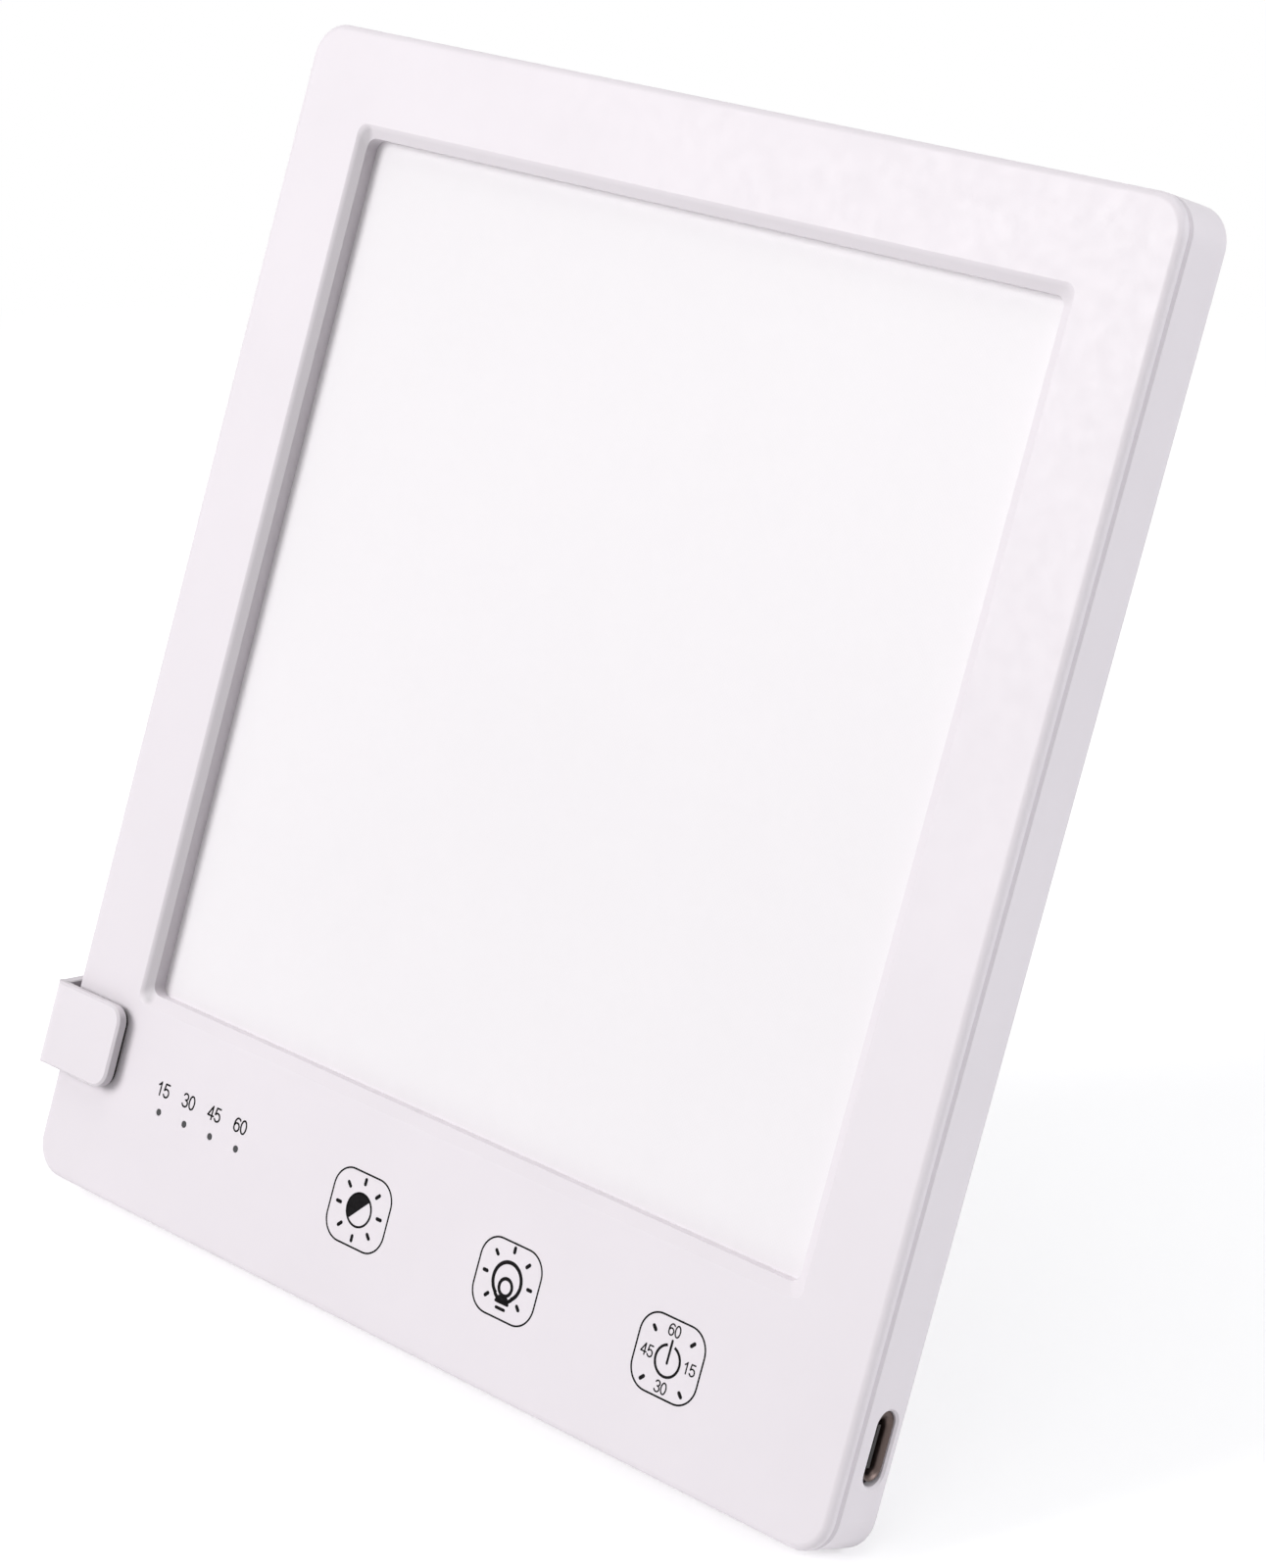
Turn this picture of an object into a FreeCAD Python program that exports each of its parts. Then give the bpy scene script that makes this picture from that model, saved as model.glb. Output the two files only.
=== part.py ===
import FreeCAD, Part
import math
import os

V = FreeCAD.Vector

# All pieces are drawn in the panel's own frame: x to the right, y into the depth from the front
# face, z up the panel from its bottom edge. They are stood up together at the end.

# Case
case_width = 180.0
case_height = 200.0
case_depth = 12.5
case_corner = 6.0
bezel_thickness = 2.0
front_edge_fillet = 1.2
rear_edge_bevel = 1.5
seam_bevel = 0.55
cover_wall = 1.8
lip_gap = 0.15
lip_thickness = 1.2
lip_depth = 2.6

# Standing pose
lean_angle = 21.4

# Window
margin_side = 15.2
margin_top = 15.2
margin_bottom = 34.0
window_corner = 1.8
bevel_width = 2.0
bevel_depth = 1.0
window_recess = 3.4
flange_wall = 1.8

# Light stack behind the window
stack_overlap = 4.2
diffuser_thickness = 1.5
guide_thickness = 3.0
reflector_thickness = 0.3
tray_thickness = 0.8
fence_gap = 0.2
fence_wall = 1.0

# Light strips at the two upright edges of the light guide
led_gap = 0.3
led_height = 0.8
led_size = 2.6
led_pitch = 5.2
led_end_margin = 2.4
strip_board_thickness = 1.0
strip_board_width = 3.2
strip_front_gap = 0.05
strip_tail = 4.4

# Ribs inside the rear cover
rib_thickness = 1.0
rib_columns = 6
rib_rows = 7
rib_edge_margin = 4.0

# Case screws
screw_inset = 5.8
screw_radius = 1.1
screw_clearance = 0.05
screw_head_radius = 2.3
screw_head_height = 1.6
screw_length = 7.6
counterbore_gap = 0.4
counterbore_depth = 3.0
post_wall = 1.0
post_front = 6.4
boss_half = 2.4
pilot_floor = 1.9

# Control board
board_front = 4.7
board_thickness = 1.2
board_left_inset = 20.0
board_right_gap = 0.8
board_bottom = 10.0
board_top = 26.5
board_screw_inset_left = 14.0
board_screw_inset_right = 39.0
board_screw_level = 22.6
board_boss_half = 1.9
board_screw_radius = 0.95
board_screw_head_radius = 1.9
board_screw_head_height = 1.2
board_screw_bite = 2.6

# Touch keys and indicators on the control strip
touch_last_inset = 35.9
touch_pitch = 34.0
touch_count = 3
touch_level = 17.9
touch_pad_half = 3.3
dot_first_inset = 26.7
dot_pitch = 6.5
dot_count = 4
dot_level = 18.1
dot_radius = 0.55
dot_hole_gap = 0.05
pipe_bar_depth = 1.7
pipe_bar_half_height = 1.5
pipe_bar_overhang = 2.2
indicator_width = 2.0
indicator_length = 1.2
indicator_height = 0.8

# Charging and supply port in the right side
port_level = 17.0
port_width = 4.4
port_length = 11.6
port_bevel = 0.35
socket_recess = 0.8
socket_length = 7.4
socket_width = 3.2
socket_height = 8.94
socket_corner = 1.45
socket_wall = 0.3
tongue_back = 1.2
tongue_gap = 0.05
tongue_thickness = 0.7
tongue_height = 6.6
tongue_reach = 5.6

# Parts on the rear of the control board, placed from the board's right end
touch_chip_inset = 90.0
touch_chip_size = 7.0
touch_chip_depth = 1.0
driver_chip_inset = 47.0
driver_chip_size = 4.4
driver_chip_depth = 1.5
chip_level = 16.0
chip_edge = 0.2
inductor_inset = 25.2
inductor_level = 14.6
inductor_size = 7.0
inductor_depth = 3.0
coil_gap = 0.8
coil_height = 1.4
capacitor_inset = 41.2
capacitor_pitch = 4.0
capacitor_count = 3
capacitor_level = 14.0
capacitor_length = 3.2
capacitor_width = 2.4
capacitor_depth = 1.8
connector_length = 4.2
connector_level = 23.4
connector_height = 5.4
connector_depth = 2.9

# Flat twin leads from the headers to the strips
lead_run = 13.6
lead_thickness = 0.9
lead_width = 2.2
lead_depth = 1.5
lead_bend = 3.0
lead_clearance = 0.05
lead_overlap = 3.2

# Clip of the stand, round the left edge
clip_bottom = 18.0
clip_height = 14.3
clip_thickness = 1.8
clip_side_thickness = 2.0
clip_front_gap = 1.0
clip_side_gap = 1.2
clip_rear_gap = 0.7
clip_reach = 18.2
clip_bend = 2.5
clip_inner_bend = 0.7
clip_plate_corner = 3.0
clip_edge_bevel = 0.4
side_rise = 0.22
liner_gap = 0.1
liner_inset = 2.0
liner_end_inset = 0.6

# Hinge between clip and leg
hinge_radius = 2.5
hinge_running_gap = 0.3
hinge_pin_radius = 1.2
hinge_pin_gap = 0.05
hinge_pin_inset = 0.2
knuckle_low = 23.2
knuckle_high = 31.8
hinge_sweep_gap = 0.4

# Leg of the stand
leg_foot_front = 104.0
leg_foot_rear = 118.0
leg_foot_height = 7.5
leg_start_low = 0.6
leg_start_high = 0.6
leg_heel_radius = 6.0
leg_toe_radius = 2.5
leg_root_radius = 1.5
leg_wall = 1.8
leg_web = 1.6
leg_rib_count = 4
leg_rib_thickness = 1.4
foot_pad_thickness = 1.0
foot_pad_inset = 0.6
foot_pad_side_inset = 0.4

# Places that follow from the sizes above
half_width = case_width / 2.0
window_left = -half_width + margin_side
window_right = half_width - margin_side
window_low = margin_bottom
window_high = case_height - margin_top
stack_left = window_left + bevel_width - stack_overlap
stack_right = window_right - bevel_width + stack_overlap
stack_low = window_low + bevel_width - stack_overlap
stack_high = window_high - bevel_width + stack_overlap
diffuser_rear = window_recess + diffuser_thickness
guide_rear = diffuser_rear + guide_thickness
reflector_rear = guide_rear + reflector_thickness
tray_rear = reflector_rear + tray_thickness
strip_face = stack_right + led_gap + led_height
strip_back = strip_face + strip_board_thickness
strip_front = diffuser_rear + strip_front_gap
strip_low = stack_low - strip_tail
board_rear = board_front + board_thickness
board_left = -half_width + board_left_inset
board_right = half_width - cover_wall - board_right_gap
touch_first = half_width - touch_last_inset - (touch_count - 1) * touch_pitch
dot_first = -half_width + dot_first_inset
board_screw_places = (board_left + board_screw_inset_left, board_right - board_screw_inset_right)
connector_place = strip_face - lead_run
port_depth = board_rear + socket_width / 2.0
cover_floor = case_depth - cover_wall
clip_outer = -half_width - clip_side_gap - clip_side_thickness
clip_inner = -half_width - clip_side_gap
clip_front_outer = -clip_front_gap - clip_thickness
clip_bend_end = clip_front_outer + clip_bend
clip_rear_inner = case_depth + clip_rear_gap
clip_rear_outer = clip_rear_inner + clip_thickness
clip_end = clip_outer + clip_reach
clip_top = clip_bottom + clip_height
hinge_x = clip_outer + hinge_radius
hinge_y = clip_rear_outer + hinge_running_gap + hinge_radius
leg_start = hinge_y + hinge_radius + hinge_sweep_gap
leg_inner = clip_outer + 2.0 * hinge_radius
lean_sin = math.sin(math.radians(lean_angle))
lean_cos = math.cos(math.radians(lean_angle))
rear_edge_drop = (case_depth - rear_edge_bevel) * lean_sin


def box(x0, x1, y0, y1, z0, z1):
    return Part.makeBox(x1 - x0, y1 - y0, z1 - z0, V(x0, y0, z0))


def square_block(x, z, half, y0, y1):
    return box(x - half, x + half, y0, y1, z - half, z + half)


def rod_y(x, z, radius, y0, y1):
    return Part.makeCylinder(radius, y1 - y0, V(x, y0, z), V(0, 1, 0))


def rod_z(x, y, radius, z0, z1):
    return Part.makeCylinder(radius, z1 - z0, V(x, y, z0), V(0, 0, 1))


def rounded_wire(x0, x1, z0, z1, radius, y):
    """A rectangle with round corners, in a plane parallel to the panel's face."""
    turns = ((x1 - radius, z1 - radius, 0), (x0 + radius, z1 - radius, 90),
             (x0 + radius, z0 + radius, 180), (x1 - radius, z0 + radius, 270))
    arcs = []
    for cx, cz, start in turns:
        points = []
        for step in (0, 45, 90):
            angle = math.radians(start + step)
            points.append(V(cx + radius * math.cos(angle), y, cz + radius * math.sin(angle)))
        arcs.append(points)
    edges = []
    for index, points in enumerate(arcs):
        edges.append(Part.Arc(*points).toShape())
        edges.append(Part.LineSegment(points[2], arcs[(index + 1) % 4][0]).toShape())
    return Part.Wire(edges)


def rounded_plate(x0, x1, z0, z1, radius, y0, y1):
    face = Part.Face(rounded_wire(x0, x1, z0, z1, radius, y0))
    return face.extrude(V(0, y1 - y0, 0))


def rounded_ring(x0, x1, z0, z1, radius, thickness, y0, y1):
    """A closed wall that stands on the panel's face, measured outside its outer side."""
    outer = rounded_plate(x0, x1, z0, z1, radius, y0, y1)
    inner_radius = max(radius - thickness, 0.2)
    inner = rounded_plate(x0 + thickness, x1 - thickness, z0 + thickness, z1 - thickness,
                          inner_radius, y0, y1)
    return outer.cut(inner)


def edges_in_plane(shape, axis, value):
    chosen = []
    for edge in shape.Edges:
        limits = edge.BoundBox
        low = (limits.XMin, limits.YMin, limits.ZMin)[axis]
        high = (limits.XMax, limits.YMax, limits.ZMax)[axis]
        if abs(low - value) < 0.001 and abs(high - value) < 0.001:
            chosen.append(edge)
    return chosen


def edges_along(shape, axis, length, tests):
    """Straight edges along one axis, of one length, whose middle passes all the tests."""
    chosen = []
    for edge in shape.Edges:
        limits = edge.BoundBox
        spans = [limits.XLength, limits.YLength, limits.ZLength]
        along = spans.pop(axis)
        if abs(along - length) > 0.001 or max(spans) > 0.001:
            continue
        if all(test(edge.CenterOfMass) for test in tests):
            chosen.append(edge)
    return chosen


def screw_places():
    places = []
    for x in (-half_width + screw_inset, half_width - screw_inset):
        for z in (screw_inset, case_height - screw_inset):
            places.append((x, z))
    return places


def touch_places():
    return [touch_first + touch_pitch * index for index in range(touch_count)]


def dot_places():
    return [dot_first + dot_pitch * index for index in range(dot_count)]


def case_outline(inset, y0, y1):
    return rounded_plate(-half_width + inset, half_width - inset, inset, case_height - inset,
                         case_corner - inset, y0, y1)


def window_opening():
    """Space of the window: a bevel all round, then straight walls down to the diffuser."""
    inner = (window_left + bevel_width, window_right - bevel_width,
             window_low + bevel_width, window_high - bevel_width)
    front = rounded_wire(window_left, window_right, window_low, window_high, window_corner, 0.0)
    back = rounded_wire(*inner, window_corner, bevel_depth)
    bevel = Part.makeLoft([front, back], True, True)
    shaft = rounded_plate(*inner, window_corner, bevel_depth, window_recess)
    return bevel.fuse(shaft)


def front_bezel():
    plate = case_outline(0.0, 0.0, bezel_thickness)
    plate = plate.makeFillet(front_edge_fillet, edges_in_plane(plate, 1, 0.0))
    plate = plate.makeChamfer(seam_bevel, edges_in_plane(plate, 1, bezel_thickness))
    lip_inset = cover_wall + lip_gap
    lip = rounded_ring(-half_width + lip_inset, half_width - lip_inset, lip_inset,
                       case_height - lip_inset, case_corner - lip_inset, lip_thickness,
                       bezel_thickness, bezel_thickness + lip_depth)
    flange_grow = bevel_width - flange_wall
    flange = rounded_plate(window_left + flange_grow, window_right - flange_grow,
                           window_low + flange_grow, window_high - flange_grow,
                           window_corner + flange_wall, bezel_thickness, window_recess)
    grow = fence_gap + fence_wall
    fence = box(stack_left - grow, stack_right + grow, bezel_thickness, diffuser_rear,
                stack_low - grow, stack_high + grow)
    fence = fence.cut(box(stack_left - fence_gap, stack_right + fence_gap, bezel_thickness,
                          diffuser_rear, stack_low - fence_gap, stack_high + fence_gap))
    pieces = [lip, flange, fence]
    for x, z in screw_places():
        pieces.append(square_block(x, z, boss_half, bezel_thickness, post_front))
    for x in board_screw_places:
        pieces.append(square_block(x, board_screw_level, board_boss_half, bezel_thickness, board_front))
    shape = plate.multiFuse(pieces)
    cuts = [window_opening()]
    for x, z in screw_places():
        cuts.append(rod_y(x, z, screw_radius + screw_clearance, pilot_floor, post_front))
    for x in board_screw_places:
        cuts.append(rod_y(x, board_screw_level, board_screw_radius + screw_clearance,
                          pilot_floor, board_front))
    for x in dot_places():
        cuts.append(rod_y(x, dot_level, dot_radius + dot_hole_gap, 0.0, bezel_thickness))
    return shape.cut(cuts).removeSplitter()


def rib_grid():
    """Crossed ribs that carry the metal tray, from the tray's rear to the cover's floor."""
    low_x = stack_left + rib_edge_margin
    high_x = stack_right - rib_edge_margin
    low_z = stack_low + rib_edge_margin
    high_z = stack_high - rib_edge_margin
    half = rib_thickness / 2.0
    ribs = []
    for index in range(rib_columns):
        x = low_x + (high_x - low_x) * index / (rib_columns - 1)
        ribs.append(box(x - half, x + half, tray_rear, cover_floor, low_z, high_z))
    for index in range(rib_rows):
        z = low_z + (high_z - low_z) * index / (rib_rows - 1)
        ribs.append(box(low_x, high_x, tray_rear, cover_floor, z - half, z + half))
    return ribs


def port_opening():
    """Oblong opening in the right side wall, bevelled at its outer rim."""
    def oblong(grow, x):
        half = port_width / 2.0 + grow
        straight = (port_length - port_width) / 2.0
        corners = [V(x, port_depth - half, port_level - straight),
                   V(x, port_depth - half, port_level + straight),
                   V(x, port_depth + half, port_level + straight),
                   V(x, port_depth + half, port_level - straight)]
        top = V(x, port_depth, port_level + straight + half)
        bottom = V(x, port_depth, port_level - straight - half)
        return Part.Wire([Part.LineSegment(corners[0], corners[1]).toShape(),
                          Part.Arc(corners[1], top, corners[2]).toShape(),
                          Part.LineSegment(corners[2], corners[3]).toShape(),
                          Part.Arc(corners[3], bottom, corners[0]).toShape()])
    inner = half_width - cover_wall
    throat = Part.Face(oblong(0.0, inner)).extrude(V(cover_wall, 0, 0))
    mouth = Part.makeLoft([oblong(0.0, half_width - port_bevel), oblong(port_bevel, half_width)],
                          True, True)
    return throat.fuse(mouth)


def back_cover():
    shell = case_outline(0.0, bezel_thickness, case_depth)
    shell = shell.makeChamfer(rear_edge_bevel, edges_in_plane(shell, 1, case_depth))
    shell = shell.makeChamfer(seam_bevel, edges_in_plane(shell, 1, bezel_thickness))
    shell = shell.cut(case_outline(cover_wall, bezel_thickness, cover_floor))
    pieces = rib_grid()
    post_radius = screw_head_radius + counterbore_gap + post_wall
    post_limit = case_outline(cover_wall / 2.0, bezel_thickness, case_depth - cover_wall / 2.0)
    for x, z in screw_places():
        pieces.append(rod_y(x, z, post_radius, post_front, cover_floor).common(post_limit))
    shape = shell.multiFuse(pieces)
    cuts = [port_opening()]
    for x, z in screw_places():
        cuts.append(rod_y(x, z, screw_head_radius + counterbore_gap,
                          case_depth - counterbore_depth, case_depth))
        cuts.append(rod_y(x, z, screw_radius + screw_clearance, post_front, case_depth))
    return shape.cut(cuts).removeSplitter()


def stack_sheet(y0, y1, shrink):
    return box(stack_left + shrink, stack_right - shrink, y0, y1, stack_low + shrink, stack_high - shrink)


def led_tray():
    """Metal tray behind the light stack, folded forward at both sides to carry the strips."""
    outer = strip_back + tray_thickness
    plate = box(-outer, outer, reflector_rear, tray_rear, stack_low, stack_high)
    sides = []
    for x in (-outer, strip_back):
        sides.append(box(x, x + tray_thickness, strip_front, tray_rear, stack_low, stack_high))
    tray = plate.multiFuse(sides).removeSplitter()
    bends = edges_along(tray, 2, stack_high - stack_low,
                        [lambda c: abs(c.y - tray_rear) < 0.001, lambda c: abs(abs(c.x) - outer) < 0.001])
    return tray.makeFillet(tray_thickness, bends)


def strip_board(side):
    x = strip_face if side > 0 else -strip_back
    return box(x, x + strip_board_thickness, strip_front, strip_front + strip_board_width,
               strip_low, stack_high)


def strip_leds(side):
    x = stack_right + led_gap if side > 0 else -strip_face
    y = diffuser_rear + (guide_thickness - led_size) / 2.0
    room = stack_high - stack_low - 2.0 * led_end_margin - led_size
    count = int(room / led_pitch) + 1
    first = (stack_low + stack_high - led_size - (count - 1) * led_pitch) / 2.0
    leds = []
    for index in range(count):
        z = first + index * led_pitch
        leds.append(box(x, x + led_height, y, y + led_size, z, z + led_size))
    return Part.makeCompound(leds)


def control_board():
    board = box(board_left, board_right, board_front, board_rear, board_bottom, board_top)
    holes = []
    for x in board_screw_places:
        holes.append(rod_y(x, board_screw_level, board_screw_radius + 2.0 * screw_clearance,
                           board_front, board_rear))
    return board.cut(holes)


def touch_sensor_pads():
    pads = []
    for x in touch_places():
        pads.append(square_block(x, touch_level, touch_pad_half, bezel_thickness, board_front))
    return Part.makeCompound(pads)


def indicator_light_pipe():
    """One clear comb: a bar behind the face with a pin through it for each indicator."""
    places = dot_places()
    bar = box(places[0] - pipe_bar_overhang, places[-1] + pipe_bar_overhang,
              bezel_thickness, bezel_thickness + pipe_bar_depth,
              dot_level - pipe_bar_half_height, dot_level + pipe_bar_half_height)
    pins = []
    for x in places:
        pins.append(rod_y(x, dot_level, dot_radius, 0.0, bezel_thickness))
    return bar.multiFuse(pins)


def indicator_leds():
    leds = []
    for x in dot_places():
        leds.append(box(x - indicator_width / 2.0, x + indicator_width / 2.0,
                        board_front - indicator_height, board_front,
                        dot_level - indicator_length / 2.0, dot_level + indicator_length / 2.0))
    return Part.makeCompound(leds)


def socket_section(shrink, x0, x1):
    """The socket's oblong section, swept along the width of the lamp."""
    flat = rounded_plate(-socket_width / 2.0 + shrink, socket_width / 2.0 - shrink,
                         -socket_height / 2.0 + shrink, socket_height / 2.0 - shrink,
                         socket_corner - shrink, 0.0, x1 - x0)
    flat.rotate(V(0, 0, 0), V(0, 0, 1), -90.0)
    flat.translate(V(x0, port_depth, port_level))
    return flat


def socket_span():
    mouth = half_width - socket_recess
    return mouth - socket_length, mouth


def usb_socket_shell():
    rear, mouth = socket_span()
    return socket_section(0.0, rear, mouth).cut(socket_section(socket_wall, rear, mouth))


def usb_socket_tongue():
    rear, mouth = socket_span()
    back = socket_section(socket_wall + tongue_gap, rear, rear + tongue_back)
    tongue = box(rear, rear + tongue_back + tongue_reach,
                 port_depth - tongue_thickness / 2.0, port_depth + tongue_thickness / 2.0,
                 port_level - tongue_height / 2.0, port_level + tongue_height / 2.0)
    return back.fuse(tongue).removeSplitter()


def controller_chips():
    chips = []
    for inset, size, depth in ((touch_chip_inset, touch_chip_size, touch_chip_depth),
                               (driver_chip_inset, driver_chip_size, driver_chip_depth)):
        x = board_right - inset
        top = board_rear + depth
        chip = box(x - size / 2.0, x + size / 2.0, board_rear, top,
                   chip_level - size / 2.0, chip_level + size / 2.0)
        chips.append(chip.makeChamfer(chip_edge, edges_in_plane(chip, 1, top)))
    return Part.makeCompound(chips)


def driver_inductor():
    """Square ferrite flanges with the round winding between them."""
    half = inductor_size / 2.0
    x = board_right - inductor_inset
    flange = (inductor_depth - coil_height) / 2.0
    low = box(x - half, x + half, board_rear, board_rear + flange,
              inductor_level - half, inductor_level + half)
    high = low.copy()
    high.translate(V(0, flange + coil_height, 0))
    coil = rod_y(x, inductor_level, half - coil_gap, board_rear + flange,
                 board_rear + flange + coil_height)
    return low.multiFuse([coil, high])


def driver_capacitors():
    blocks = []
    for index in range(capacitor_count):
        x = board_right - capacitor_inset + capacitor_pitch * index
        block = box(x, x + capacitor_width, board_rear, board_rear + capacitor_depth,
                    capacitor_level - capacitor_length / 2.0, capacitor_level + capacitor_length / 2.0)
        blocks.append(block)
    return Part.makeCompound(blocks)


def lead_connectors():
    """A plugged header for each strip, with the twin lead entering its outer end."""
    bodies = []
    for side in (-1, 1):
        near = side * (connector_place - connector_length)
        far = side * connector_place
        body = box(min(near, far), max(near, far), board_rear, board_rear + connector_depth,
                   connector_level - connector_height / 2.0, connector_level + connector_height / 2.0)
        bodies.append(body)
    return Part.makeCompound(bodies)


def strip_leads(side):
    """A flat twin lead from the header, along the board and up to the foot of one strip."""
    low = board_rear + lead_depth - lead_width / 2.0
    outer = strip_face - lead_clearance
    under = connector_level - lead_thickness / 2.0
    high = strip_low + lead_overlap
    block = box(connector_place, outer, low, low + lead_width, under, high)
    block = block.makeFillet(lead_bend, edges_along(block, 1, lead_width,
                                                    [lambda c: c.x > connector_place, lambda c: c.z < high]))
    hollow = box(connector_place, outer - lead_thickness, low, low + lead_width,
                 under + lead_thickness, high)
    inner_bend = edges_along(hollow, 1, lead_width, [lambda c: c.x > connector_place, lambda c: c.z < high])
    hollow = hollow.makeFillet(lead_bend - lead_thickness, inner_bend)
    lead = block.cut(hollow)
    if side < 0:
        lead = lead.mirror(V(0, 0, 0), V(1, 0, 0))
    return lead


def board_screws():
    screws = []
    for x in board_screw_places:
        shank = rod_y(x, board_screw_level, board_screw_radius, board_front - board_screw_bite, board_rear)
        head = rod_y(x, board_screw_level, board_screw_head_radius, board_rear,
                     board_rear + board_screw_head_height)
        screws.append(shank.fuse(head))
    return Part.makeCompound(screws)


def case_screws():
    seat = case_depth - counterbore_depth
    screws = []
    for x, z in screw_places():
        shank = rod_y(x, z, screw_radius, seat + screw_head_height - screw_length, seat)
        head = rod_y(x, z, screw_head_radius, seat, seat + screw_head_height)
        screws.append(shank.fuse(head))
    return Part.makeCompound(screws)


def side_profile(points, x0, x1):
    """A flat outline in the side view, given as depth and height, swept across the width."""
    corners = [V(x0, y, z) for y, z in points]
    corners.append(corners[0])
    return Part.Face(Part.makePolygon(corners)).extrude(V(x1 - x0, 0, 0))


def rising_top(y):
    """Height of the clip's upper edge, level on the front plate and rising behind it."""
    return clip_top + side_rise * (y - clip_bend_end)


def clip_section():
    """The clip seen from above: front plate, side wall and rear plate in one bent strip."""
    front = box(clip_outer, clip_end, clip_front_outer, -clip_front_gap, 0.0, case_height)
    side = box(clip_outer, clip_inner, clip_front_outer, hinge_y, 0.0, case_height)
    rear = box(clip_outer, clip_end, clip_rear_inner, clip_rear_outer, 0.0, case_height)
    strip = front.multiFuse([side, rear]).removeSplitter()
    outer_bend = edges_along(strip, 2, case_height, [lambda c: abs(c.x - clip_outer) < 0.001,
                                                     lambda c: abs(c.y - clip_front_outer) < 0.001])
    strip = strip.makeFillet(clip_bend, outer_bend)
    inner_bend = edges_along(strip, 2, case_height, [lambda c: abs(c.x - clip_inner) < 0.001,
                                                     lambda c: c.y < clip_rear_outer])
    return strip.makeFillet(clip_inner_bend, inner_bend)


def clip_side_envelope(x1, y0):
    """Side view of the clip: level below, rising behind the front bend above."""
    rear_end = hinge_y + hinge_radius
    return side_profile([(y0, clip_bottom), (y0, rising_top(clip_bend_end)),
                         (clip_bend_end, rising_top(clip_bend_end)),
                         (rear_end, rising_top(rear_end)), (rear_end, clip_bottom)], clip_outer, x1)


def clip_plate_envelope(top, y0, y1):
    """A plate with round corners at its free end that runs past the side wall at the other."""
    return rounded_plate(clip_outer - 2.0 * clip_plate_corner, clip_end, clip_bottom, top,
                         clip_plate_corner, y0, y1)


def stand_clip():
    front = clip_plate_envelope(clip_top, clip_front_outer, -clip_front_gap)
    front = front.makeChamfer(clip_edge_bevel, edges_in_plane(front, 1, clip_front_outer))
    side = clip_side_envelope(clip_inner + clip_inner_bend, -clip_front_gap)
    rear = clip_plate_envelope(rising_top(clip_rear_inner), clip_rear_inner, clip_rear_outer)
    clip = clip_section().common(front.multiFuse([side, rear]))
    barrel = rod_z(hinge_x, hinge_y, hinge_radius, clip_bottom, case_height)
    barrel = barrel.common(clip_side_envelope(clip_outer + 2.0 * hinge_radius, -clip_front_gap))
    clip = clip.fuse(barrel)
    sweep = rod_z(hinge_x, hinge_y, hinge_radius + hinge_sweep_gap, knuckle_low, knuckle_high)
    bore = rod_z(hinge_x, hinge_y, hinge_pin_radius + hinge_pin_gap, 0.0, case_height)
    return clip.cut([sweep, bore]).removeSplitter()


def clip_liner(y0, y1):
    return box(-half_width + liner_inset, clip_end - liner_end_inset, y0, y1,
               clip_bottom + liner_inset, clip_top - liner_inset)


def hinge_pin():
    return rod_z(hinge_x, hinge_y, hinge_pin_radius, clip_bottom + hinge_pin_inset,
                 rising_top(hinge_y - hinge_pin_radius) - hinge_pin_inset)


def leg_knuckle_low():
    return knuckle_low + hinge_running_gap


def leg_knuckle_high():
    return knuckle_high - hinge_running_gap


def level_line(y, height):
    """Height up the panel, at depth y, of a point that lies this far above the table."""
    return (height - rear_edge_drop + y * lean_sin) / lean_cos


def leg_outline():
    low = clip_bottom + leg_start_low
    high = rising_top(leg_start) - leg_start_high
    foot_top = level_line(leg_foot_rear, foot_pad_thickness) + leg_foot_height
    return [(leg_start, low), (leg_foot_front, level_line(leg_foot_front, foot_pad_thickness)),
            (leg_foot_rear, level_line(leg_foot_rear, foot_pad_thickness)),
            (leg_foot_rear, foot_top), (leg_start, high)]


def near_point(y, z):
    return lambda c: math.hypot(c.y - y, c.z - z) < 0.01


def leg_body():
    points = leg_outline()
    thickness = 2.0 * hinge_radius
    body = side_profile(points, clip_outer, leg_inner)
    radii = (leg_root_radius, leg_heel_radius, leg_toe_radius, leg_toe_radius, leg_root_radius)
    for (y, z), radius in zip(points, radii):
        body = body.makeFillet(radius, edges_along(body, 0, thickness, [near_point(y, z)]))
    return body


def leg_pockets(body):
    """Cored pockets in the leg's inner side, parted by upright ribs."""
    outer_face = [face for face in body.Faces if abs(face.CenterOfMass.x - clip_outer) < 0.001][0]
    inner_wire = outer_face.OuterWire.makeOffset2D(-leg_wall)
    depth = 2.0 * hinge_radius - leg_web
    pocket = Part.Face(inner_wire).extrude(V(depth, 0, 0))
    pocket.translate(V(leg_web, 0, 0))
    ribs = []
    for index in range(leg_rib_count):
        share = (index + 1.0) / (leg_rib_count + 1.0)
        y = leg_start + (leg_foot_rear - leg_start) * share
        ribs.append(box(clip_outer, leg_inner, y - leg_rib_thickness / 2.0,
                        y + leg_rib_thickness / 2.0, 0.0, case_height))
    return pocket.cut(ribs)


def stand_leg():
    body = leg_body()
    body = body.cut(leg_pockets(body))
    low = leg_knuckle_low()
    high = leg_knuckle_high()
    knuckle = rod_z(hinge_x, hinge_y, hinge_radius, low, high)
    bridge = box(clip_outer, leg_inner, hinge_y, leg_start + leg_wall, low, high)
    bore = rod_z(hinge_x, hinge_y, hinge_pin_radius + hinge_pin_gap, 0.0, case_height)
    leg = body.multiFuse([knuckle, bridge]).removeSplitter()
    return leg.cut(bore)


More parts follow.
